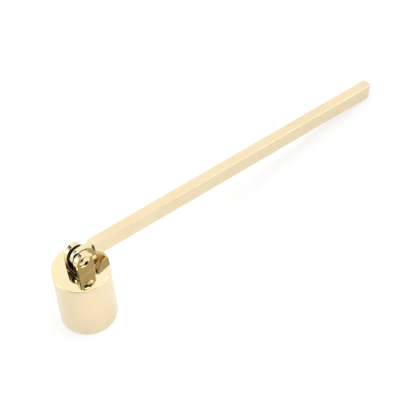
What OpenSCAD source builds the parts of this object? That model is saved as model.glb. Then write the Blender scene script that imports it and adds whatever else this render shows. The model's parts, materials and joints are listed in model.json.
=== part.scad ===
// Candle snuffer: a bell that hangs from a long flat handle on a clevis hinge.
// Origin: centre of the bell's mouth, on the surface that the bell stands on.
// +X runs out along the handle, +Z up, and the hinge pin lies along Y.

/* [Bell] */
// Outside diameter of the bell
bell_d = 27; // [25:0.5:32]
// Height of the bell, from its mouth to its flat top
bell_h = 34; // [28:0.5:40]
// Thickness of the bell's side wall
wall_t = 1; // [0.8:0.1:1.5]
// Thickness of the top disc where it shows at the edge
cap_edge_t = 1.2; // [0.8:0.1:2]
// Depth of the disc's plug inside the wall
plug_depth = 2.4; // [2.2:0.1:4]
// Small chamfer on the bell's outer edges
bell_chamfer = 0.2; // [0.1:0.05:0.4]

/* [Handle] */
// Distance from the hinge pin to the handle's far end
handle_len = 191.0; // [150:0.1:220]
// Width of the handle, across the hinge pin's direction
handle_w = 5; // [4.4:0.1:6]
// Depth of the handle, seen from the side
handle_t = 8.3; // [7:0.1:8.5]
// Radius of the far end's lower corner, seen from the side
end_r = 1.8; // [0.5:0.1:3]
// Radius of the far end's upper corner, seen from the side
end_top_r = 0.6; // [0.4:0.1:3]
// Radius of the far end's two upright corners, seen from above
end_side_r = 1.2; // [0.4:0.1:2.2]
// Chamfer along the handle's four long edges
handle_chamfer = 0.35; // [0.1:0.05:0.6]

/* [Tang] */
// Thickness of the tang, the part of the handle between the ears
tang_t = 2.8; // [2.4:0.1:3.2]
// Distance from the hinge pin to the shoulder, along the top edge
shoulder_x = 7.2; // [7.2:0.1:9]
// Radius of the shoulder's sweep down to the lower edge
shoulder_r = 9.9; // [9:0.1:14]

/* [Clevis] */
// Height of the hinge pin over the bell's flat top
pivot_h = 9.2; // [8.8:0.1:11]
// Width of each ear, along the handle's direction
ear_w = 9.6; // [8:0.1:9.8]
// Width over both ears, along the hinge pin
clevis_w = 9.3; // [8.6:0.1:11]
// Width of the slot between the ears
slot_w = 4.3; // [4:0.1:4.4]
// Thickness of the web under the slot
web_t = 3; // [2.5:0.1:3.5]

/* [Hinge pin] */
// Diameter of the hollow post that the handle turns on
post_d = 4; // [3.6:0.1:4.4]
// Diameter of the post's and the screw's domed heads
head_d = 5.8; // [5.2:0.1:6.4]
// Height of the domed heads
head_h = 1.3; // [1:0.1:1.8]
// Straight rim under each dome
head_rim = 0.25; // [0.1:0.05:0.5]
// Nominal thread diameter of the pivot screw
pivot_thread_d = 2.5; // [2:0.5:2.5]
// Outside diameter of the friction washers
washer_d = 8.8; // [5.5:0.1:9.4]
// Thickness of the friction washers
washer_t = 0.65; // [0.3:0.05:0.7]

/* [Cap screw] */
// Nominal thread diameter of the screw that holds the clevis
cap_thread_d = 3; // [2.5:0.5:3]
// Diameter of its countersunk head
cap_head_d = 6; // [5.4:0.1:6.4]
// Hexagon key size for both screws, across flats
hex_af = 2; // [1.5:0.1:2.2]

/* [Hidden] */

polished_gold = [0.86, 0.70, 0.40];
satin_gold = [0.93, 0.82, 0.60];
black_nylon = [0.12, 0.11, 0.10];

fit_gap = 0.02;      // gap of parts that are pressed or screwed together
running_gap = 0.05;  // gap of the tang's bore around the post
cut = 1;             // how far a cutting shape runs past a face

bell_r = bell_d / 2;
bore_r = bell_r - wall_t;
seat_r = bore_r + 0.2;
cap_z = bell_h - cap_edge_t;
plug_z = cap_z - plug_depth;
pivot_z = bell_h + pivot_h;
post_r = post_d / 2;
head_r = head_d / 2;
half_t = handle_t / 2;
side_gap = (slot_w - tang_t) / 2;
washer_y = tang_t / 2 + side_gap / 2;

// The handle leans down until the lower corner of its far end rests on the ground.
arm_x = handle_len - end_r;
arm_z = half_t - end_r;
rest_tilt = asin((pivot_z - end_r) / norm([arm_x, arm_z])) - atan(arm_z / arm_x);

// Countersunk head: a 90 degree cone, sunk just below the plug's lower face.
sink = 0.1;
cone_h = (cap_head_d - cap_thread_d) / 2;
cap_screw_tip = bell_h + web_t - 0.4;
key_depth = 0.9;

$fn = 96;

module place_at_pivot() {
    translate([0, 0, pivot_z]) children();
}

// Turns a shape drawn along +Z to run along +Y.
module along_y() {
    rotate([-90, 0, 0]) children();
}

// Hexagon key socket, open upwards at height 0 and sunk below it.
module key_socket() {
    translate([0, 0, -key_depth])
        cylinder(d = hex_af / cos(30), h = key_depth + cut, $fn = 6);
}

// Domed head that stands on height 0.
module domed_head() {
    rise = head_h - head_rim;
    dome_r = (head_r * head_r + rise * rise) / (2 * rise);
    rotate_extrude()
        intersection() {
            square([head_r, head_h]);
            translate([0, head_h - dome_r]) circle(r = dome_r, $fn = 180);
        }
}

// Side wall of the bell: a tube with a shallow seat for the cap at its top.
module bell_wall() {
    color(satin_gold)
        rotate_extrude()
            polygon([
                [bore_r, 0],
                [bell_r - bell_chamfer, 0],
                [bell_r, bell_chamfer],
                [bell_r, cap_z],
                [seat_r, cap_z],
                [seat_r, plug_z],
                [bore_r, plug_z]
            ]);
}

// Top disc with its plug, drilled and countersunk for the cap screw.
module bell_cap() {
    plug_r = seat_r - fit_gap;
    hole_r = cap_thread_d / 2 + 0.1;
    sink_r = cap_head_d / 2 + 0.1;
    color(polished_gold)
        rotate_extrude()
            polygon([
                [sink_r + sink, plug_z],
                [plug_r, plug_z],
                [plug_r, cap_z],
                [bell_r, cap_z],
                [bell_r, bell_h - bell_chamfer],
                [bell_r - bell_chamfer, bell_h],
                [hole_r, bell_h],
                [hole_r, plug_z + sink + sink_r - hole_r],
                [sink_r, plug_z + sink]
            ]);
}

// Side view of one ear, standing on height 0.
module ear_outline() {
    translate([-ear_w / 2, 0]) square([ear_w, pivot_h]);
    translate([0, pivot_h]) circle(d = ear_w);
}

// Fork with two round-topped ears on a web, tapped from below.
module hinge_clevis() {
    color(polished_gold)
        translate([0, 0, bell_h])
            difference() {
                translate([0, clevis_w / 2, 0])
                    rotate([90, 0, 0])
                        linear_extrude(clevis_w) ear_outline();
                translate([-ear_w, -slot_w / 2, web_t])
                    cube([2 * ear_w, slot_w, 2 * pivot_h]);
                translate([0, -clevis_w, pivot_h])
                    along_y() cylinder(r = post_r + fit_gap, h = 2 * clevis_w);
                translate([0, 0, -cut])
                    cylinder(r = cap_thread_d / 2 + fit_gap, h = web_t + 2 * cut);
            }
}

// Countersunk screw, driven up through the cap into the clevis.
module cap_screw() {
    head_z = plug_z + sink;
    color(polished_gold)
        difference() {
            union() {
                translate([0, 0, head_z])
                    cylinder(d1 = cap_head_d, d2 = cap_thread_d, h = cone_h);
                translate([0, 0, head_z])
                    cylinder(d = cap_thread_d, h = cap_screw_tip - head_z);
            }
            translate([0, 0, head_z]) mirror([0, 0, 1]) key_socket();
        }
}

// Hollow post with a domed head on the far ear; the handle turns on it.
module pivot_post() {
    barrel = clevis_w - 0.1;
    tap_depth = barrel - 2;
    color(polished_gold)
        place_at_pivot()
            difference() {
                union() {
                    translate([0, clevis_w / 2, 0]) along_y() domed_head();
                    translate([0, clevis_w / 2 - barrel, 0])
                        along_y() cylinder(r = post_r, h = barrel);
                }
                translate([0, clevis_w / 2 - barrel - cut, 0])
                    along_y() cylinder(d = pivot_thread_d, h = tap_depth + cut);
            }
}

// Button-head screw that closes the post on the near ear.
module pivot_screw() {
    thread_len = clevis_w - 3;
    color(polished_gold)
        place_at_pivot()
            translate([0, -clevis_w / 2, 0])
                rotate([90, 0, 0])
                    difference() {
                        union() {
                            domed_head();
                            translate([0, 0, -thread_len])
                                cylinder(r = pivot_thread_d / 2 - fit_gap, h = thread_len + head_rim);
                        }
                        translate([0, 0, head_h]) key_socket();
                    }
}

// Thin ring that fills the gap beside the tang; side is -1 or 1 along Y.
module friction_washer(side) {
    color(black_nylon)
        place_at_pivot()
            translate([0, side * washer_y - washer_t / 2, 0])
                along_y()
                    difference() {
                        cylinder(d = washer_d, h = washer_t);
                        translate([0, 0, -cut])
                            cylinder(r = post_r + 2 * running_gap, h = washer_t + 2 * cut);
                    }
}

module friction_washer_near() {
    friction_washer(-1);
}

module friction_washer_far() {
    friction_washer(1);
}

// Side view of the handle's full-width bar, from the swept shoulder to the far end.
module bar_outline() {
    sweep_x = shoulder_x + shoulder_r;
    intersection() {
        translate([sweep_x, half_t]) circle(r = shoulder_r, $fn = 180);
        translate([shoulder_x, -half_t]) square([shoulder_r, handle_t]);
    }
    translate([sweep_x, -half_t]) square([arm_x - sweep_x, handle_t]);
    translate([arm_x - cut, -arm_z]) square([end_r + cut, half_t + arm_z - end_top_r]);
    translate([arm_x - cut, -arm_z]) square([end_r - end_top_r + cut, half_t + arm_z]);
    translate([arm_x, -arm_z]) circle(r = end_r);
    translate([handle_len - end_top_r, half_t - end_top_r]) circle(r = end_top_r);
}

// Plan of the bar, with the far end's two corners rounded.
module bar_plan() {
    y = handle_w / 2 - end_side_r;
    square_x = handle_len - end_side_r;
    translate([0, -handle_w]) square([square_x, 2 * handle_w]);
    translate([square_x - cut, -y]) square([end_side_r + cut, 2 * y]);
    for (side = [-1, 1])
        translate([square_x, side * y]) circle(r = end_side_r);
}

// Section across the bar, with its four long edges chamfered.
module bar_section() {
    y = handle_w / 2;
    c = handle_chamfer;
    polygon([
        [c - y, -half_t], [y - c, -half_t], [y, c - half_t], [y, half_t - c],
        [y - c, half_t], [c - y, half_t], [-y, half_t - c], [-y, c - half_t]
    ]);
}

// Tang: round nose around the post, running back inside the bar.
module tang_outline() {
    circle(r = half_t);
    translate([0, -half_t]) square([shoulder_x + shoulder_r, handle_t]);
}

// Flat bar with a thinner round-nosed tang, drilled for the post.
module handle_bar() {
    color(satin_gold)
        place_at_pivot()
            rotate([0, rest_tilt, 0])
                difference() {
                    union() {
                        intersection() {
                            translate([0, handle_w / 2, 0])
                                rotate([90, 0, 0])
                                    linear_extrude(handle_w) bar_outline();
                            rotate([90, 0, 90])
                                linear_extrude(handle_len + cut) bar_section();
                            translate([0, 0, -handle_t])
                                linear_extrude(2 * handle_t) bar_plan();
                        }
                        translate([0, tang_t / 2, 0])
                            rotate([90, 0, 0])
                                linear_extrude(tang_t) tang_outline();
                    }
                    translate([0, -handle_w, 0])
                        along_y() cylinder(r = post_r + running_gap, h = 2 * handle_w);
                }
}

bell_wall();
bell_cap();
hinge_clevis();
cap_screw();
pivot_post();
pivot_screw();
friction_washer_near();
friction_washer_far();
handle_bar();
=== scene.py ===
"""Gold candle snuffer: the visual pieces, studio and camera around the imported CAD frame.

Everything is in metres in the row frame: origin at the centre of the bell's mouth, +X out along
the handle, +Y along the hinge pin and +Z up.
"""

import json
import math

import bmesh
import bpy
from mathutils import Matrix, Vector


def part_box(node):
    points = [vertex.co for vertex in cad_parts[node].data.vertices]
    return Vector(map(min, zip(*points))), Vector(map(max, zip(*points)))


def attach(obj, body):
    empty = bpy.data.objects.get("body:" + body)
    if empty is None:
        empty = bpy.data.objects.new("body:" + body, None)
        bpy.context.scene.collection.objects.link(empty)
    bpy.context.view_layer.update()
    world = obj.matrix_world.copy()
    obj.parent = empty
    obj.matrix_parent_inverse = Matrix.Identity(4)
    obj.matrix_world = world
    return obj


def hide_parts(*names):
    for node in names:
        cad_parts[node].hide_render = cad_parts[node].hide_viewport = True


MM = 0.001
FULL_TURN = 2 * math.pi

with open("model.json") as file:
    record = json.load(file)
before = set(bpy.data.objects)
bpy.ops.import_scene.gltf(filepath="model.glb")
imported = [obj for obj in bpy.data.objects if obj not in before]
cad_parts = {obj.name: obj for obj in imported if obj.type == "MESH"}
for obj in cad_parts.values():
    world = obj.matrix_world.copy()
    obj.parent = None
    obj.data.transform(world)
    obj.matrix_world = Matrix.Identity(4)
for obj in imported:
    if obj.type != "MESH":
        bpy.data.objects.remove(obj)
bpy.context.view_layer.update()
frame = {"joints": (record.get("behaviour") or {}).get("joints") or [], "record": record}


# ---------------------------------------------------------------- sizes, from the CAD frame

def extent(node):
    """Size of a CAD node along each axis."""
    low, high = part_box(node)
    return high - low


def bottom(node):
    """Lowest corner of a CAD node's box."""
    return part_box(node)[0]


def top(node):
    """Highest corner of a CAD node's box."""
    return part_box(node)[1]


PIVOT = Vector(frame["joints"][0]["pos_m"])

BELL_R = extent("bell_wall").x / 2
BORE_R = frame["record"]["mounts"][0]["dims"]["r_mm"] * MM
SEAT_R = BORE_R + 0.2 * MM
BELL_TOP = top("bell_cap").z
SEAM_Z = top("bell_wall").z
PLUG_Z = bottom("bell_cap").z

EAR_R = extent("hinge_clevis").x / 2
FORK_W = extent("hinge_clevis").y
SLOT_W = 4.3 * MM
WEB_T = 3.0 * MM
WEB_TOP = BELL_TOP + WEB_T

POST_R = 2.0 * MM
HEAD_R = extent("pivot_post").x / 2
HEAD_H = top("pivot_post").y - top("hinge_clevis").y
HEAD_RIM = 0.25 * MM
THREAD_R = 1.25 * MM
KEY_AF = 2.0 * MM
SUNK_R = extent("cap_screw").x / 2
SUNK_SHANK_R = 1.5 * MM

BAR_W = extent("handle_bar").y
BAR_HALF = 4.15 * MM
BAR_LEN = 191.0 * MM
BAR_END_R = 1.8 * MM
BAR_TOP_R = 0.6 * MM
BAR_SIDE_R = 1.2 * MM
BAR_EDGE_R = 0.35 * MM
TANG_W = 2.8 * MM
SHOULDER_X = 7.2 * MM
SHOULDER_R = 9.9 * MM
TANG_SOFT = 0.3 * MM
NOSE_SOFT_NEAR = 0.95 * MM
NOSE_SOFT_FAR = 0.5 * MM


def rest_tilt():
    """Angle of the handle below the horizontal when its far lower corner touches the ground."""
    arm_x, arm_z = BAR_LEN - BAR_END_R, BAR_HALF - BAR_END_R
    reach = math.hypot(arm_x, arm_z)
    return math.asin((PIVOT.z - BAR_END_R) / reach) - math.atan2(arm_z, arm_x)


# ---------------------------------------------------------------- mesh helpers

def arc(cx, cy, radius, start, end, steps):
    """Points on a circle from start to end, in degrees, both ends included."""
    points = []
    for i in range(steps + 1):
        a = math.radians(start + (end - start) * i / steps)
        points.append((cx + radius * math.cos(a), cy + radius * math.sin(a)))
    return points


def rounded(profile, radii, steps=4):
    """A polyline with some corners rounded: radii maps a corner's index to its radius."""
    out = []
    for i, p in enumerate(profile):
        radius = radii.get(i, 0)
        if radius <= 0 or i in (0, len(profile) - 1):
            out.append(p)
            continue
        here = Vector(p)
        to_prev = (Vector(profile[i - 1]) - here).normalized()
        to_next = (Vector(profile[i + 1]) - here).normalized()
        half = to_prev.angle(to_next) / 2
        reach = radius / math.tan(half)
        centre = here + (to_prev + to_next).normalized() * (radius / math.sin(half))
        first = here + to_prev * reach - centre
        last = here + to_next * reach - centre
        turn = first.angle_signed(last)
        for k in range(steps + 1):
            a = -turn * k / steps
            c, s = math.cos(a), math.sin(a)
            q = centre + Vector((first.x * c - first.y * s, first.x * s + first.y * c))
            out.append((q.x, q.y))
    return out


def finish_mesh(name, bm, sharp=35, matrix=None):
    """Turns a bmesh into an object with smooth shading broken at sharp edges."""
    bmesh.ops.recalc_face_normals(bm, faces=bm.faces)
    mesh = bpy.data.meshes.new(name)
    bm.to_mesh(mesh)
    bm.free()
    for polygon in mesh.polygons:
        polygon.use_smooth = True
    mesh.set_sharp_from_angle(angle=math.radians(sharp))
    obj = bpy.data.objects.new(name, mesh)
    if matrix is not None:
        obj.matrix_world = matrix
    bpy.context.scene.collection.objects.link(obj)
    return obj


def bevel(obj, width, segments=3, angle=30):
    """Rounds the object's sharp edges."""
    m = obj.modifiers.new("edge_break", "BEVEL")
    m.width = width
    m.segments = segments
    m.limit_method = "ANGLE"
    m.angle_limit = math.radians(angle)
    m.harden_normals = True
    m.use_clamp_overlap = False
    return m


def even_flats(obj):
    """Keeps large flat faces flat in the shading next to rounded edges."""
    m = obj.modifiers.new("even_flats", "WEIGHTED_NORMAL")
    m.keep_sharp = True
    m.weight = 90


def weigh_edges(obj, modifier, rule, sharpest=30):
    """Scales a bevel edge by edge: rule(start, end) gives each sharp edge's share of the width."""
    mesh = obj.data
    bm = bmesh.new()
    bm.from_mesh(mesh)
    weights = []
    for edge in bm.edges:
        sharp = edge.is_manifold and edge.calc_face_angle(0) > math.radians(sharpest)
        weights.append(rule(edge.verts[0].co, edge.verts[1].co) if sharp else 0.0)
    bm.free()
    layer = mesh.attributes.new("bevel_weight_edge", "FLOAT", "EDGE")
    layer.data.foreach_set("value", weights)
    modifier.limit_method = "WEIGHT"


def lathe_rings(bm, profile, segments):
    """Revolves (radius, height) points about Z and returns the rings of vertices."""
    rings = []
    for r, z in profile:
        if r < 1e-9:
            rings.append([bm.verts.new((0, 0, z))])
            continue
        ring = []
        for k in range(segments):
            a = FULL_TURN * k / segments
            ring.append(bm.verts.new((r * math.cos(a), r * math.sin(a), z)))
        rings.append(ring)
    return rings


def join_rings(bm, a, b):
    """Faces between two rings; either may be a single point."""
    n = max(len(a), len(b))
    for k in range(n):
        j = (k + 1) % n
        if len(a) == 1:
            bm.faces.new((a[0], b[k], b[j]))
        elif len(b) == 1:
            bm.faces.new((a[k], b[0], a[j]))
        else:
            bm.faces.new((a[k], b[k], b[j], a[j]))


def lathe(name, profile, segments=160, closed=False, matrix=None, sharp=35):
    """A turned piece. A closed profile joins its last point to its first."""
    bm = bmesh.new()
    rings = lathe_rings(bm, profile, segments)
    for a, b in zip(rings, rings[1:]):
        join_rings(bm, a, b)
    if closed:
        join_rings(bm, rings[-1], rings[0])
    return finish_mesh(name, bm, sharp, matrix)


def hexagon_ring(bm, across_flats, z, segments):
    """A ring of vertices on a hexagon, as many as a round ring has, so that the two join up."""
    ring = []
    for k in range(segments):
        a = FULL_TURN * k / segments
        wedge = (a + math.pi / 6) % (math.pi / 3) - math.pi / 6
        r = across_flats / 2 / math.cos(wedge)
        ring.append(bm.verts.new((r * math.cos(a), r * math.sin(a), z)))
    return ring


KEY_FLARE = 0.12 * MM
KEY_LIP = 0.06 * MM
DRILL_SHARE = 0.9
DRILL_STEP = 0.02 * MM
DRILL_TIP = 0.3 * MM


def keyed_lathe(name, profile, key_af, mouth_z, floor_z, segments=144, matrix=None):
    """A turned piece whose last ring opens into a hexagon key socket with a drilled floor."""
    bm = bmesh.new()
    rings = lathe_rings(bm, profile, segments)
    for a, b in zip(rings, rings[1:]):
        join_rings(bm, a, b)
    down = math.copysign(1, floor_z - mouth_z)
    lip = hexagon_ring(bm, key_af + KEY_FLARE, mouth_z, segments)
    edge = hexagon_ring(bm, key_af, mouth_z + down * KEY_LIP, segments)
    foot = hexagon_ring(bm, key_af, floor_z, segments)
    drill = hexagon_ring(bm, key_af * DRILL_SHARE, floor_z + down * DRILL_STEP, segments)
    tip = [bm.verts.new((0, 0, floor_z + down * DRILL_TIP))]
    chain = [rings[-1], lip, edge, foot, drill, tip]
    for a, b in zip(chain, chain[1:]):
        join_rings(bm, a, b)
    return finish_mesh(name, bm, 35, matrix)


def face_with_hole(bm, loop, hole):
    """Two faces that fill a loop of vertices around a hole of vertices, both anticlockwise."""
    def nearest(ring, target):
        return min(range(len(ring)), key=lambda i: (ring[i].co - target).length)

    start_h, half_h = 0, len(hole) // 2
    start_l = nearest(loop, hole[start_h].co + (hole[start_h].co - hole[half_h].co))
    half_l = nearest(loop, hole[half_h].co + (hole[half_h].co - hole[start_h].co))

    def walk(ring, i, j):
        out = [ring[i]]
        while i != j:
            i = (i + 1) % len(ring)
            out.append(ring[i])
        return out

    first = walk(loop, start_l, half_l) + walk(hole, start_h, half_h)[::-1]
    second = walk(loop, half_l, start_l) + walk(hole, half_h, start_h)[::-1]
    bm.faces.new(first)
    bm.faces.new(second)


def loop_at(bm, outline, y):
    """Vertices for an outline in the XZ plane at one Y."""
    return [bm.verts.new((x, y, z)) for x, z in outline]


def bridge(bm, a, b, pairs):
    """Quads between matching vertices of two loops, for the listed steps."""
    for i, j in pairs:
        bm.faces.new((a[i], a[j], b[j], b[i]))


# ---------------------------------------------------------------- material helpers

# Painted shade: a dark brown painted inside the fork's slot and the screw's key socket, standing in for the
# shade and dark reflections there.
PAINTED_SHADE_TONE = (0.16, 0.085, 0.035)
PAINTED_SHADE_EDGE = 0.08 * MM
PAINTED_SHADE_LIP = 0.05 * MM


class Nodes:
    """Short calls for building one material's node tree."""

    def __init__(self, name):
        self.material = bpy.data.materials.new(name)
        self.material.use_nodes = True
        self.tree = self.material.node_tree
        self.shader = self.tree.nodes["Principled BSDF"]

    def add(self, kind, **settings):
        node = self.tree.nodes.new(kind)
        for key, value in settings.items():
            if key in node.inputs:
                node.inputs[key].default_value = value
            else:
                setattr(node, key, value)
        return node

    def link(self, out, into):
        self.tree.links.new(out, into)

    def coordinates(self, stretch):
        """Object coordinates scaled per axis, in features per metre."""
        place = self.add("ShaderNodeTexCoord")
        mapping = self.add("ShaderNodeMapping")
        mapping.inputs["Scale"].default_value = stretch
        self.link(place.outputs["Object"], mapping.inputs["Vector"])
        return mapping.outputs["Vector"]

    def noise(self, stretch, detail=2.0, rough=0.5):
        """Cloudy values around 0.5, with the given number of features per metre on each axis."""
        node = self.add("ShaderNodeTexNoise", Scale=1.0, Detail=detail, Roughness=rough)
        self.link(self.coordinates(stretch), node.inputs["Vector"])
        return node.outputs["Fac"]

    def spread(self, value, low, high, to_low, to_high):
        """Maps one range of values to another and holds it at its ends."""
        node = self.add("ShaderNodeMapRange")
        for key, number in zip(
            ("From Min", "From Max", "To Min", "To Max"), (low, high, to_low, to_high)
        ):
            node.inputs[key].default_value = number
        self.link(value, node.inputs["Value"])
        return node.outputs["Result"]

    def mix_colour(self, value, a, b):
        """Colour a at value 0, colour b at value 1."""
        node = self.add("ShaderNodeMix", data_type="RGBA")
        node.inputs[6].default_value = (*a, 1)
        node.inputs[7].default_value = (*b, 1)
        self.link(value, node.inputs["Factor"])
        return node.outputs[2]

    def bump(self, height, strength, distance):
        """Adds relief on top of any relief that the shader already has."""
        node = self.add("ShaderNodeBump", Strength=strength, Distance=distance)
        self.link(height, node.inputs["Height"])
        for link in self.shader.inputs["Normal"].links:
            self.link(link.from_socket, node.inputs["Normal"])
        self.link(node.outputs["Normal"], self.shader.inputs["Normal"])

    def outside(self, axes, limit):
        """0 within a distance of the object's origin, measured along the given axes, and 1 beyond."""
        place = self.add("ShaderNodeTexCoord")
        pick = self.add("ShaderNodeVectorMath", operation="MULTIPLY")
        pick.inputs[1].default_value = axes
        self.link(place.outputs["Object"], pick.inputs[0])
        reach = self.add("ShaderNodeVectorMath", operation="LENGTH")
        self.link(pick.outputs["Vector"], reach.inputs[0])
        return self.spread(reach.outputs["Value"], limit, limit + PAINTED_SHADE_EDGE, 0, 1)


def plated_metal(name, light, deep, roughness, grain, grain_depth, smudge=0.05, wave=0.0, painted_recess_shade=None):
    """Gold plating: two close tones, cloudy roughness and a fine grain along one direction.

    wave is the depth of the polishing's slow waves. The last argument gives the axes and the distance
    within which a dark brown is painted as shade, standing in for the shade and dark reflections inside a
    narrow slot or a key socket.
    """
    n = Nodes(name)
    n.shader.inputs["Metallic"].default_value = 1.0
    cloud = n.noise((60, 60, 60), detail=3.0)
    tone = n.mix_colour(n.spread(cloud, 0.35, 0.65, 0, 1), light, deep)
    # Painted shade: the dark tone within the given distance along the given axes.
    if painted_recess_shade:
        shade = n.add("ShaderNodeMix", data_type="RGBA")
        shade.inputs[6].default_value = (*PAINTED_SHADE_TONE, 1)
        n.link(n.outside(*painted_recess_shade), shade.inputs["Factor"])
        n.link(tone, shade.inputs[7])
        tone = shade.outputs[2]
    n.link(tone, n.shader.inputs["Base Color"])
    wipe = n.noise((110, 110, 110), detail=4.0, rough=0.6)
    n.link(n.spread(wipe, 0.3, 0.7, roughness - smudge, roughness + smudge), n.shader.inputs["Roughness"])
    if wave:
        n.bump(n.noise((170, 170, 170), detail=1.0), 1.0, wave)
    n.bump(n.noise(grain, detail=3.0, rough=0.7), 0.6, grain_depth)
    return n.material


def put(obj, material, body, slot, *nodes):
    """Gives a finished piece its material and body, and hides the CAD nodes that it stands for. The slot is
    not used.
    """
    obj.data.materials.clear()
    obj.data.materials.append(material)
    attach(obj, body)
    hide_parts(*nodes)
    return obj


GOLD_LIGHT = (0.845, 0.73, 0.47)
GOLD_DEEP = (0.82, 0.70, 0.44)
WALL_LIGHT = (0.83, 0.70, 0.478)
WALL_DEEP = (0.81, 0.68, 0.455)
FORK_LIGHT = (0.84, 0.70, 0.42)
FORK_DEEP = (0.81, 0.66, 0.38)
BAR_LIGHT = (0.807, 0.683, 0.463)
BAR_DEEP = (0.783, 0.655, 0.433)
SCREW_LIGHT = (0.86, 0.72, 0.46)
SCREW_DEEP = (0.80, 0.66, 0.40)
NYLON_LIGHT = (0.012, 0.010, 0.009)
NYLON_DEEP = (0.006, 0.005, 0.004)

fine_grain = (1500, 1500, 1500)
satin = plated_metal("satin_gold", WALL_LIGHT, WALL_DEEP, 0.24, (900, 900, 6000), 0.00002)
mirror = plated_metal("mirror_gold", GOLD_LIGHT, GOLD_DEEP, 0.045, fine_grain, 0.000001, 0.012)
# The fork's slot walls get the painted shade.
fork_gold = plated_metal(
    "fork_gold", FORK_LIGHT, FORK_DEEP, 0.045, fine_grain, 0.000001, 0.012,
    wave=0.00002, painted_recess_shade=((0, 1, 0), SLOT_W / 2 + PAINTED_SHADE_LIP),
)
# The key socket gets the painted shade.
keyed_gold = plated_metal(
    "keyed_gold", FORK_LIGHT, FORK_DEEP, 0.05, fine_grain, 0.000001, 0.012,
    painted_recess_shade=((1, 1, 0), KEY_AF / 2 / math.cos(math.pi / 6) + PAINTED_SHADE_LIP),
)
brushed = plated_metal("brushed_gold", BAR_LIGHT, BAR_DEEP, 0.12, (60, 5000, 5000), 0.000004, 0.03)
screw_metal = plated_metal("screw_gold", SCREW_LIGHT, SCREW_DEEP, 0.16, (3000, 3000, 300), 0.00001)


def black_nylon():
    """Dull black plastic with a fine moulded texture."""
    n = Nodes("black_nylon")
    cloud = n.noise((900, 900, 900), detail=3.0)
    tone = n.mix_colour(n.spread(cloud, 0.35, 0.65, 0, 1), NYLON_DEEP, NYLON_LIGHT)
    n.link(tone, n.shader.inputs["Base Color"])
    n.shader.inputs["Specular IOR Level"].default_value = 0.2
    n.link(n.spread(cloud, 0.3, 0.7, 0.50, 0.62), n.shader.inputs["Roughness"])
    n.bump(n.noise((6000, 6000, 6000), detail=2.0), 0.5, 0.00001)
    return n.material


nylon = black_nylon()


# ---------------------------------------------------------------- bell

def make_wall():
    """Side wall: a tube with a softened lip and a fine shadow line under the cap."""
    inner, outer, groove, corner = 0.1 * MM, 0.25 * MM, 0.05 * MM, 0.15 * MM
    profile = [
        (BORE_R, inner), (BORE_R + inner, 0.0), (BELL_R - outer, 0.0), (BELL_R, outer),
        (BELL_R, SEAM_Z - groove), (BELL_R - groove, SEAM_Z), (SEAT_R, SEAM_Z),
        (SEAT_R, PLUG_Z), (BORE_R, PLUG_Z),
    ]
    profile = rounded(profile, {2: corner, 3: corner})
    return lathe("bell_side_wall", profile, segments=256, closed=True)


def make_cap():
    """Top disc with a broken edge, its plug below, and the countersunk hole in the middle."""
    edge, groove, corner = 0.16 * MM, 0.05 * MM, 0.12 * MM
    hole = SUNK_SHANK_R + 0.1 * MM
    sink = 3.1 * MM
    step = 0.1 * MM
    plug_r = SEAT_R - 0.02 * MM
    profile = [
        (sink, PLUG_Z), (plug_r, PLUG_Z), (plug_r, SEAM_Z), (BELL_R - groove, SEAM_Z),
        (BELL_R, SEAM_Z + groove), (BELL_R, BELL_TOP - edge), (BELL_R - edge, BELL_TOP),
        (hole, BELL_TOP), (hole, PLUG_Z + sink - hole + step), (sink, PLUG_Z + step),
    ]
    profile = rounded(profile, {5: corner, 6: corner})
    return lathe("bell_top_disc", profile, segments=256, closed=True)


put(make_wall(), satin, "bell", "satin_gold", "bell_wall")
put(make_cap(), mirror, "bell", "polished_gold", "bell_cap")


# ---------------------------------------------------------------- clevis

def ear_outline(foot):
    """Side view of an ear from height foot up, anticlockwise from its lower right corner.

    The points just below the crown keep the upright faces flat in the shading.
    """
    crown = arc(0, PIVOT.z, EAR_R, 0, 180, 60)
    below = PIVOT.z - 0.15 * MM
    return [(EAR_R, foot), (EAR_R, below)] + crown + [(-EAR_R, below), (-EAR_R, foot)]


def hole_outline(radius, steps=48):
    return arc(0, PIVOT.z, radius, 0, 360 * (steps - 1) / steps, steps - 1)


FORK_BREAK = 0.6 * MM
OUTER_SHARE, INNER_SHARE, HOLE_SHARE = 1.0, 0.45, 0.15


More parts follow.
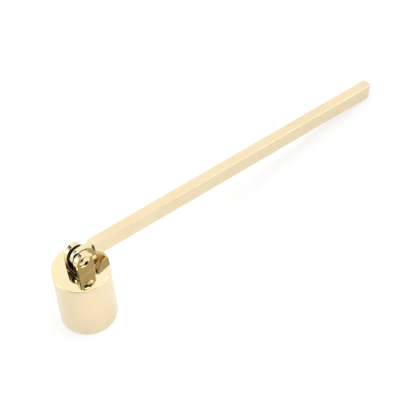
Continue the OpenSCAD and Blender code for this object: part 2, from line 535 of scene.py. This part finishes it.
def make_fork():
    """Fork with two round-topped ears, bored for the post, on a web."""
    bm = bmesh.new()
    outer_y, inner_y = FORK_W / 2, SLOT_W / 2
    outer = ear_outline(BELL_TOP)
    outer = [outer[0], (EAR_R, WEB_TOP)] + outer[1:-1] + [(-EAR_R, WEB_TOP), outer[-1]]
    inner = outer[1:-1]
    hole = hole_outline(POST_R + 0.02 * MM)
    loops = {}
    for side in (-1, 1):
        out_loop = loop_at(bm, outer, side * outer_y)
        in_loop = loop_at(bm, inner, side * inner_y)
        out_hole = loop_at(bm, hole, side * outer_y)
        in_hole = loop_at(bm, hole, side * inner_y)
        face_with_hole(bm, out_loop, out_hole)
        face_with_hole(bm, in_loop, in_hole)
        n = len(hole)
        bridge(bm, out_hole, in_hole, [(i, (i + 1) % n) for i in range(n)])
        steps = [(i, i + 1) for i in range(len(inner) - 1)]
        bridge(bm, out_loop[1:-1], in_loop, steps)
        loops[side] = (out_loop, in_loop)
    (near_out, near_in), (far_out, far_in) = loops[-1], loops[1]
    for i, w in ((0, 0), (-1, -1)):
        k = 1 if i == 0 else -2
        bm.faces.new((near_out[i], near_out[k], near_in[w], far_in[w], far_out[k], far_out[i]))
    bm.faces.new((near_in[0], near_in[-1], far_in[-1], far_in[0]))
    bm.faces.new((near_out[0], near_out[-1], far_out[-1], far_out[0]))
    fork = finish_mesh("clevis_fork", bm)

    def share(a, b):
        upright = abs(a.z - b.z) > 2 * MM
        outside = min(abs(a.y), abs(b.y)) > inner_y + 0.1 * MM
        at_hole = math.hypot(a.x, a.z - PIVOT.z) < POST_R * 1.2
        if at_hole:
            return HOLE_SHARE
        return OUTER_SHARE if upright and outside else INNER_SHARE

    weigh_edges(fork, bevel(fork, FORK_BREAK, 5), share)
    return fork


put(make_fork(), fork_gold, "bell", "polished_gold", "hinge_clevis")


# ---------------------------------------------------------------- pivot post, screws and washers

def dome(radius, height, rim, steps=14):
    """Profile of a domed head from its outer foot up to the crown on the axis."""
    rise = height - rim
    ball = (radius * radius + rise * rise) / (2 * rise)
    top = math.degrees(math.acos(radius / ball)) if radius < ball else 0
    return [(radius, 0), (radius, rim * 0.6)] + arc(0, height - ball, ball, top, 90, steps)


def along_y(y, flip=False):
    """Places a piece turned about Z on the pivot's axis, its height along +Y or -Y."""
    turn = Matrix.Rotation(math.radians(90 if flip else -90), 4, "X")
    return Matrix.Translation((0, y, PIVOT.z)) @ turn


def make_post():
    """Hollow post with a plain domed head on the far ear."""
    soft = 0.1 * MM
    barrel = FORK_W - 0.1 * MM
    solid = 2.0 * MM
    head = dome(HEAD_R, HEAD_H, HEAD_RIM)
    head[-1] = (0, head[-1][1])
    profile = [
        (0, -solid), (THREAD_R, -solid), (THREAD_R, -barrel + soft), (THREAD_R + soft, -barrel),
        (POST_R - soft, -barrel), (POST_R, -barrel + soft), (POST_R, 0),
    ]
    return lathe("pivot_post_head", profile + head, segments=128, matrix=along_y(FORK_W / 2))


def make_pivot_screw():
    """Button-head screw on the near ear, with its hexagon key socket."""
    key_r = KEY_AF / 2 / math.cos(math.pi / 6)
    key_depth, taper = 0.85 * MM, 0.2 * MM
    head = dome(HEAD_R, HEAD_H, HEAD_RIM, 20)
    flat_r = key_r + 0.16 * MM
    head = [p for p in head if p[0] > flat_r]
    mouth = head[-1][1] + 0.01 * MM
    shank = THREAD_R - 0.02 * MM
    length = FORK_W - 3.0 * MM
    profile = [(0, -length), (shank - taper, -length), (shank, -length + taper), (shank, 0)]
    profile += head + [(flat_r, mouth)]
    matrix = along_y(-FORK_W / 2, flip=True)
    return keyed_lathe("pivot_screw_head", profile, KEY_AF, mouth, mouth - key_depth, matrix=matrix)


def make_cap_screw():
    """Countersunk screw, seen from inside the bell, flush with the cap's plug."""
    head, tip = bottom("cap_screw").z, top("cap_screw").z
    shank, taper, soft = SUNK_SHANK_R, 0.3 * MM, 0.08 * MM
    flat_r, key_depth = 1.35 * MM, 0.9 * MM
    profile = [
        (0, tip), (shank - taper, tip), (shank, tip - taper), (shank, head + SUNK_R - shank),
        (SUNK_R, head + soft), (SUNK_R - soft, head), (flat_r, head),
    ]
    return keyed_lathe("countersunk_screw", profile, KEY_AF, head, head + key_depth)


def make_washer(side):
    """Thin friction ring beside the tang."""
    name = "friction_ring_near" if side < 0 else "friction_ring_far"
    node = "friction_washer_near" if side < 0 else "friction_washer_far"
    outer, thick = extent(node).x / 2, extent(node).y
    inner, soft = POST_R + 0.1 * MM, 0.08 * MM
    profile = [
        (inner, soft), (inner + soft, 0), (outer - soft, 0), (outer, soft),
        (outer, thick - soft), (outer - soft, thick), (inner + soft, thick), (inner, thick - soft),
    ]
    ring = lathe(name, profile, segments=96, closed=True, matrix=along_y(bottom(node).y))
    return put(ring, nylon, "bell", "washer_black", node)


put(make_post(), mirror, "bell", "polished_gold", "pivot_post")
put(make_pivot_screw(), keyed_gold, "bell", "polished_gold", "pivot_screw")
put(make_cap_screw(), screw_metal, "bell", "screw_gold", "cap_screw")
make_washer(-1)
make_washer(1)


# ---------------------------------------------------------------- handle

def round_over(half, radius, depth):
    """How far a rounded edge has fallen back at a given depth out from the middle."""
    over = abs(depth) - (half - radius)
    if over <= 0:
        return 0.0
    return radius - math.sqrt(max(0.0, radius * radius - over * over))


def bar_outline(y):
    """Side view of the bar at one distance from its middle plane, with its edges rounded over."""
    inset = round_over(BAR_W / 2, BAR_EDGE_R, y)
    end_x = BAR_LEN - round_over(BAR_W / 2, BAR_SIDE_R, y)
    top, base = BAR_HALF - inset, inset - BAR_HALF
    sweep_x, sweep_r = SHOULDER_X + SHOULDER_R, SHOULDER_R - inset
    points = []
    for i in range(21):
        z = top + (base - top) * i / 20
        points.append((sweep_x - math.sqrt(sweep_r**2 - (z - BAR_HALF) ** 2), z))
    low, high = BAR_END_R - inset, BAR_TOP_R - inset
    points += arc(end_x - low, base + low, low, -90, 0, 10)
    points += arc(end_x - high, top - high, high, 0, 90, 6)
    return points


def tang_outline():
    """Side view of the tang: a round nose, and a tail that dives inside the bar."""
    dip, tail = 0.02 * MM, 0.4 * MM
    back = SHOULDER_X + 7 * MM
    base_x = SHOULDER_X + 4.5 * MM
    top = [(back, BAR_HALF - tail), (SHOULDER_X + dip, BAR_HALF - dip), (SHOULDER_X, BAR_HALF)]
    nose = arc(0, 0, BAR_HALF, 90, 270, 60)
    return top + nose + [(base_x, -BAR_HALF), (base_x + dip, dip - BAR_HALF), (back, tail - BAR_HALF)]


def tang_ring(bm, side, turn):
    """One loop around the tang: turn runs from 0 on its rim to 90 degrees on its flat side."""
    swing = math.radians(turn)
    ring = []
    for x, z in tang_outline():
        lean = max(0.0, min(1.0, -x / BAR_HALF))
        soft = TANG_SOFT + (NOSE_SOFT_NEAR if side < 0 else NOSE_SOFT_FAR) * lean
        inset = soft * (1 - math.cos(swing))
        reach = math.hypot(min(x, 0.0), z)
        shrink = (reach - inset) / reach
        point = (x * shrink if x < 0 else x, side * (TANG_W / 2 - soft * (1 - math.sin(swing))), z * shrink)
        ring.append(bm.verts.new(point))
    return ring


def loft(bm, rings):
    """Faces between neighbouring closed loops."""
    for a, b in zip(rings, rings[1:]):
        join_rings(bm, a, b)


def make_handle():
    """Flat bar with softened corners and a thinner round-nosed tang, in its own straight frame."""
    bm = bmesh.new()
    depths = [0.0, 0.5, 0.72, 0.80, 0.86, 0.91, 0.95, 0.98, 1.0]
    levels = [-d for d in depths[:0:-1]] + depths
    rings = [loop_at(bm, bar_outline(d * BAR_W / 2), d * BAR_W / 2) for d in levels]
    loft(bm, rings)
    bm.faces.new(rings[0])
    bm.faces.new(rings[-1])

    turns = [0, 22, 45, 68, 90]
    near = [tang_ring(bm, -1, t) for t in turns]
    far = [tang_ring(bm, 1, t) for t in turns]
    loft(bm, near[::-1] + far)
    hole = arc(0, 0, POST_R + 0.05 * MM, 0, 352.5, 47)
    near_hole = loop_at(bm, hole, -TANG_W / 2)
    far_hole = loop_at(bm, hole, TANG_W / 2)
    face_with_hole(bm, near[-1], near_hole)
    face_with_hole(bm, far[-1], far_hole)
    join_rings(bm, near_hole, far_hole)

    matrix = Matrix.Translation(PIVOT) @ Matrix.Rotation(rest_tilt(), 4, "Y")
    handle = finish_mesh("flat_handle", bm, matrix=matrix)
    even_flats(handle)
    return handle


put(make_handle(), brushed, "handle", "handle_gold", "handle_bar")


# ---------------------------------------------------------------- studio

TABLE_LIGHT = (0.36, 0.36, 0.36)
TABLE_DEEP = (0.34, 0.34, 0.338)
# Even glow of the table, then the strength of the painted pool of light beside the bell and the side it
# lies on.
GLOW = 0.645
PAINTED_POOL_LEVEL = 0.085
PAINTED_POOL_SIDE = (0.787, -0.617, 0)


def table_glow(n):
    """Even glow of the table top, plus a painted pool of light beside the bell on one side."""
    place = n.add("ShaderNodeTexCoord")
    across = n.add("ShaderNodeVectorMath", operation="DOT_PRODUCT")
    across.inputs[1].default_value = PAINTED_POOL_SIDE
    n.link(place.outputs["Object"], across.inputs[0])
    reach = n.add("ShaderNodeVectorMath", operation="LENGTH")
    n.link(place.outputs["Object"], reach.inputs[0])
    # Painted pool of light: strongest on one side of the bell, fading out away from it.
    side = n.spread(across.outputs["Value"], -0.020, 0.010, 0, PAINTED_POOL_LEVEL)
    near = n.spread(reach.outputs["Value"], 0.045, 0.090, 1, 0)
    extra = n.add("ShaderNodeMath", operation="MULTIPLY_ADD")
    n.link(side, extra.inputs[0])
    n.link(near, extra.inputs[1])
    extra.inputs[2].default_value = GLOW
    return extra.outputs[0]


def make_floor():
    """Plain pale table top that partly glows, so that shadows on it stay faint, with a painted pool of
    light beside the bell on one side.
    """
    bpy.ops.mesh.primitive_circle_add(vertices=96, radius=4.0, fill_type="NGON", location=(0, 0, 0))
    floor = bpy.context.object
    floor.name = "table_top"
    n = Nodes("table_white")
    n.shader.inputs["Roughness"].default_value = 0.9
    n.shader.inputs["Specular IOR Level"].default_value = 0.1
    n.shader.inputs["Emission Color"].default_value = (1, 1, 1, 1)
    n.link(table_glow(n), n.shader.inputs["Emission Strength"])
    cloud = n.noise((8, 8, 8), detail=2.0)
    n.link(n.mix_colour(cloud, TABLE_DEEP, TABLE_LIGHT), n.shader.inputs["Base Color"])
    floor.data.materials.append(n.material)


def light_tent(base, patches):
    """A white tent of light all round, with brighter and darker patches at given directions."""
    world = bpy.data.worlds.new("light_tent")
    bpy.context.scene.world = world
    world.use_nodes = True
    tree = world.node_tree
    tree.nodes.clear()
    out = tree.nodes.new("ShaderNodeOutputWorld")
    background = tree.nodes.new("ShaderNodeBackground")
    background.inputs["Color"].default_value = (1, 1, 1, 1)
    tree.links.new(background.outputs[0], out.inputs[0])
    place = tree.nodes.new("ShaderNodeTexCoord")
    level = tree.nodes.new("ShaderNodeValue")
    level.outputs[0].default_value = base
    value = level.outputs[0]
    for direction, inner, outer, brightness in patches:
        dot = tree.nodes.new("ShaderNodeVectorMath")
        dot.operation = "DOT_PRODUCT"
        dot.inputs[1].default_value = Vector(direction).normalized()
        tree.links.new(place.outputs["Generated"], dot.inputs[0])
        edge = tree.nodes.new("ShaderNodeMapRange")
        edge.interpolation_type = "SMOOTHSTEP"
        edge.inputs["From Min"].default_value = math.cos(math.radians(outer))
        edge.inputs["From Max"].default_value = math.cos(math.radians(inner))
        tree.links.new(dot.outputs["Value"], edge.inputs["Value"])
        mix = tree.nodes.new("ShaderNodeMix")
        mix.inputs["B"].default_value = brightness
        tree.links.new(edge.outputs[0], mix.inputs["Factor"])
        tree.links.new(value, mix.inputs["A"])
        value = mix.outputs[0]
    tree.links.new(value, background.inputs["Strength"])


TENT_LEVEL = 1.14

# Each patch: direction, inner and outer half angle in degrees, brightness. In order:
# the light in the bell's flat top, the dark front of the studio and its foot, the small lamp
# that draws the line along the handle's edge, the half tone in the ears' fronts, the dark slits
# in the ears' left sides and under the handle, and the lamp in the tang's nose.
TENT_PATCHES = [
    ((0.312, 0.514, 0.799), 16, 34, 1.20),
    ((-0.55, -0.62, 0.56), 34, 50, 0.03),
    ((0.70, -0.635, 0.32), 4, 10, 4.5),
    ((0.312, -0.514, 0.799), 2, 26, 0.60),
    ((-0.312, 0.514, 0.799), 3.0, 5.0, 0.01),
    ((-0.50, -0.85, 0.12), 10, 24, 0.03),
    ((-0.799, 0.514, 0.312), 10, 18, 2.3),
    ((-0.036, 0.517, 0.853), 6.5, 9, 0.02),
]

SOFTBOX_SIZE = 0.9
SOFTBOX_POWER = 6.0
SOFTBOX_PLACE = (0.08, 0.0, 1.3)


def make_softbox():
    """Large soft light overhead, which gives the handle its faint shadow straight below."""
    light = bpy.data.lights.new("softbox", "AREA")
    light.shape = "DISK"
    light.size = SOFTBOX_SIZE
    light.energy = SOFTBOX_POWER
    obj = bpy.data.objects.new("softbox", light)
    obj.location = SOFTBOX_PLACE
    bpy.context.scene.collection.objects.link(obj)


CAMERA_AZIMUTH = math.radians(-38.09)
CAMERA_ELEVATION = math.radians(51.69)
CAMERA_ROLL = math.radians(-6.27)
CAMERA_AIM = Vector((0.0809, 0.0107, 0.0))
CAMERA_DISTANCE = 0.8578
CAMERA_LENS = 158.3


def make_camera():
    """Camera above the bell's side, looking down along the handle."""
    azimuth, elevation = CAMERA_AZIMUTH, CAMERA_ELEVATION
    back = Vector((
        math.sin(azimuth) * math.cos(elevation),
        -math.cos(azimuth) * math.cos(elevation),
        math.sin(elevation),
    ))
    data = bpy.data.cameras.new("camera")
    data.sensor_width = 36.0
    data.lens = CAMERA_LENS
    data.clip_start = 0.01
    data.clip_end = 50.0
    camera = bpy.data.objects.new("camera", data)
    level = Matrix((
        (math.cos(azimuth), -math.sin(elevation) * math.sin(azimuth), back.x),
        (math.sin(azimuth), math.sin(elevation) * math.cos(azimuth), back.y),
        (0.0, math.cos(elevation), back.z),
    )).to_4x4()
    place = Matrix.Translation(CAMERA_AIM + back * CAMERA_DISTANCE)
    camera.matrix_world = place @ level @ Matrix.Rotation(CAMERA_ROLL, 4, "Z")
    bpy.context.scene.collection.objects.link(camera)
    bpy.context.scene.camera = camera


make_floor()
light_tent(TENT_LEVEL, TENT_PATCHES)
make_softbox()
make_camera()
bpy.context.scene.view_settings.view_transform = "Standard"
